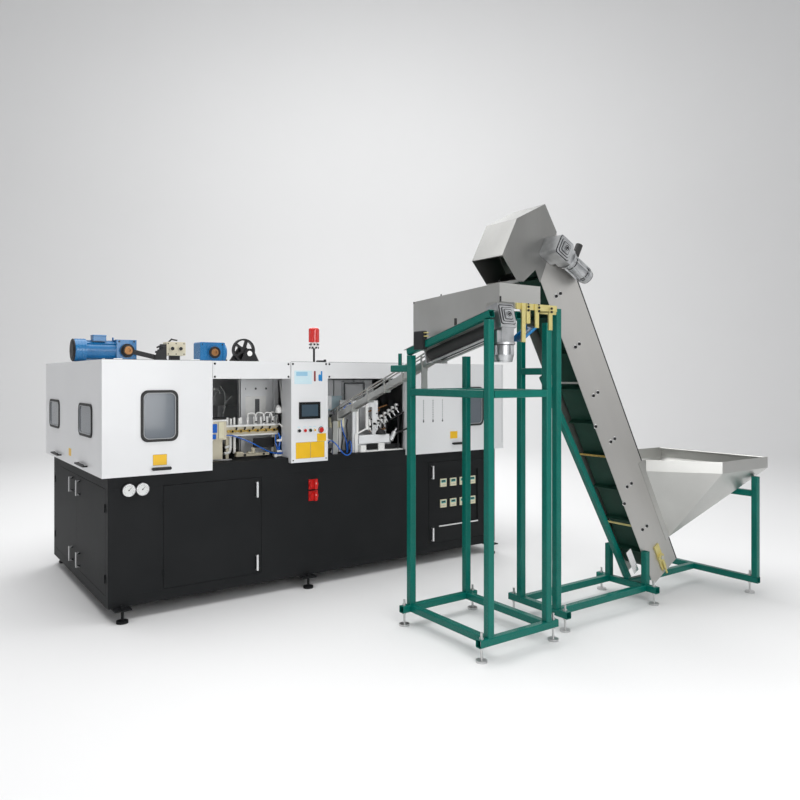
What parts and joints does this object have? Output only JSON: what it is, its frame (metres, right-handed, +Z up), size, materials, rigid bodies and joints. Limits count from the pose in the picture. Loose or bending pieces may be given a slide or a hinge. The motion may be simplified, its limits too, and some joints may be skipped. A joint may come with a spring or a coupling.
{
  "type": "blow moulding machine",
  "caption": "Bottle blow moulding line: black cabinet, white hinged guards with windows, control console, roof drives, green sorter stand, sloped chute, cleated elevator and hopper.",
  "frame": {"origin": "floor level, centre of the bounding box of the whole line", "axes": "+X along the cabinet to the operator's right, +Y from the operator into the machine, +Z up"},
  "size_m": [4.726, 4.48, 2.9888],
  "materials": {
    "black_paint": "satin black powder coat",
    "white_paint": "semi-gloss off-white paint",
    "green_paint": "gloss teal green paint",
    "stainless": "brushed stainless sheet",
    "machined": "machined and cast aluminium",
    "blue_paint": "gloss blue paint",
    "cream_paint": "satin cream paint",
    "zinc": "yellow passivated zinc",
    "dark_plastic": "matt black plastic",
    "red_plastic": "gloss red plastic",
    "ivory_plastic": "ivory plastic",
    "screen": "dark screen in a grey frame",
    "glass": "grey safety glass",
    "belt": "dark green belting",
    "rubber": "black rubber",
    "hose": "blue air hose"
  },
  "bodies": {
    "machine": {"base_frame": "black_paint", "base_panels": "black_paint", "base_feet": "black_paint", "panel_fittings": "dark_plastic", "air_receiver": "blue_paint", "electrical_backplate": "cream_paint", "guard_frame": "white_paint", "guard_panels": "white_paint", "fascia_beams": "white_paint", "console_housing": "white_paint", "touch_screen": "screen", "beacon_light": "red_plastic", "left_gear_motor": "blue_paint", "roof_valve_block": "cream_paint", "right_gear_motor": "blue_paint", "blow_manifold": "cream_paint", "mould_clamp": "machined", "infeed_frame": "cream_paint", "air_hoses": "hose", "sorter_stand": "green_paint", "roller_carrier": "machined", "sorter_gear_motor": "machined", "sorter_trough": "stainless", "zinc_brackets": "zinc", "side_tray": "blue_paint", "preform_chute": "stainless", "elevator_chassis": "stainless", "elevator_belt": "belt", "elevator_hood": "stainless", "edge_strips": "dark_plastic", "take_ups": "zinc", "elevator_gear_motor": "machined", "elevator_stand": "green_paint", "stand_feet": "dark_plastic", "hopper": "stainless"},
    "service_door": {"service_door": "black_paint"},
    "electrical_door": {"electrical_door": "black_paint", "temperature_controllers": "ivory_plastic"},
    "end_door_front": {"end_door_front": "black_paint"},
    "end_door_rear": {"end_door_rear": "black_paint"},
    "left_guard": {"left_guard_door": "white_paint", "left_guard_window": "glass", "left_guard_fittings": "dark_plastic"},
    "right_guard": {"right_guard_door": "white_paint", "right_guard_window": "glass", "right_guard_fittings": "dark_plastic"},
    "end_guard": {"end_guard_door": "white_paint", "end_guard_windows": "glass", "end_guard_fittings": "dark_plastic"},
    "isolator_knob_upper": {"isolator_knob_upper": "red_plastic"},
    "isolator_knob_lower": {"isolator_knob_lower": "red_plastic"},
    "black_button": {"black_button": "dark_plastic"},
    "red_button": {"red_button": "red_plastic"},
    "emergency_button": {"emergency_button": "red_plastic"},
    "selector_switch": {"selector_switch": "dark_plastic"},
    "roof_pulley": {"roof_pulley": "dark_plastic"},
    "sorter_roller_left": {"sorter_roller_left": "rubber"},
    "sorter_roller_right": {"sorter_roller_right": "rubber"},
    "head_pulley": {"head_pulley": "machined"},
    "tail_pulley": {"tail_pulley": "machined"}
  },
  "joints": [
    {"name": "service_door_hinge", "type": "hinge", "parent": "machine", "child": "service_door", "pos_m": [-1.8785, 0.095, 0.57], "axis": [0, 0, -1], "range_deg": [0, 110]},
    {"name": "electrical_door_hinge", "type": "hinge", "parent": "machine", "child": "electrical_door", "pos_m": [1.3445, 0.095, 0.57], "axis": [0, 0, 1], "range_deg": [0, 110]},
    {"name": "end_door_front_hinge", "type": "hinge", "parent": "machine", "child": "end_door_front", "pos_m": [-2.282, 0.1665, 0.57], "axis": [0, 0, 1], "range_deg": [0, 110]},
    {"name": "end_door_rear_hinge", "type": "hinge", "parent": "machine", "child": "end_door_rear", "pos_m": [-2.282, 2.0535, 0.57], "axis": [0, 0, -1], "range_deg": [0, 110]},
    {"name": "left_guard_hinge", "type": "hinge", "parent": "machine", "child": "left_guard", "pos_m": [-1.912, 0.0985, 1.905], "axis": [-1, 0, 0], "range_deg": [0, 80]},
    {"name": "right_guard_hinge", "type": "hinge", "parent": "machine", "child": "right_guard", "pos_m": [0.961, 0.0985, 1.905], "axis": [-1, 0, 0], "range_deg": [0, 80]},
    {"name": "end_guard_hinge", "type": "hinge", "parent": "machine", "child": "end_guard", "pos_m": [-2.2785, 1.11, 1.905], "axis": [0, 1, 0], "range_deg": [0, 80]},
    {"name": "isolator_upper_turn", "type": "hinge", "parent": "machine", "child": "isolator_knob_upper", "pos_m": [-0.612, 0.08, 0.863], "axis": [0, 1, 0], "range_deg": [0, 90]},
    {"name": "isolator_lower_turn", "type": "hinge", "parent": "machine", "child": "isolator_knob_lower", "pos_m": [-0.612, 0.08, 0.766], "axis": [0, 1, 0], "range_deg": [0, 90]},
    {"name": "black_button_push", "type": "slide", "parent": "machine", "child": "black_button", "axis": [0, 1, 0], "range_m": [0, 0.004], "stiffness_N_per_m": 300},
    {"name": "red_button_push", "type": "slide", "parent": "machine", "child": "red_button", "axis": [0, 1, 0], "range_m": [0, 0.004], "stiffness_N_per_m": 300},
    {"name": "emergency_button_push", "type": "slide", "parent": "machine", "child": "emergency_button", "axis": [0, 1, 0], "range_m": [0, 0.004]},
    {"name": "selector_turn", "type": "hinge", "parent": "machine", "child": "selector_switch", "pos_m": [-0.663, 0.04, 1.326], "axis": [0, 1, 0], "range_deg": [-45, 45]},
    {"name": "roof_pulley_spin", "type": "hinge", "parent": "machine", "child": "roof_pulley", "pos_m": [-0.725, 1.3, 2.035], "axis": [0, 1, 0], "continuous": true},
    {"name": "sorter_roller_left_spin", "type": "hinge", "parent": "machine", "child": "sorter_roller_left", "pos_m": [-0.4227, -1.6, 2.00929], "axis": [0, 0.9703, -0.2419], "continuous": true},
    {"name": "sorter_roller_right_spin", "type": "hinge", "parent": "machine", "child": "sorter_roller_right", "pos_m": [-0.3307, -1.6, 2.00929], "axis": [0, 0.9703, -0.2419], "continuous": true},
    {"name": "head_pulley_spin", "type": "hinge", "parent": "machine", "child": "head_pulley", "pos_m": [0.233, -1.65, 2.66], "axis": [0, 1, 0], "continuous": true},
    {"name": "tail_pulley_spin", "type": "hinge", "parent": "machine", "child": "tail_pulley", "pos_m": [1.523, -1.65, 0.32], "axis": [0, 1, 0], "continuous": true}
  ],
  "couplings": [
    {"joint": "tail_pulley_spin", "follows": "head_pulley_spin", "ratio": 1},
    {"joint": "sorter_roller_right_spin", "follows": "sorter_roller_left_spin", "ratio": -1}
  ]
}
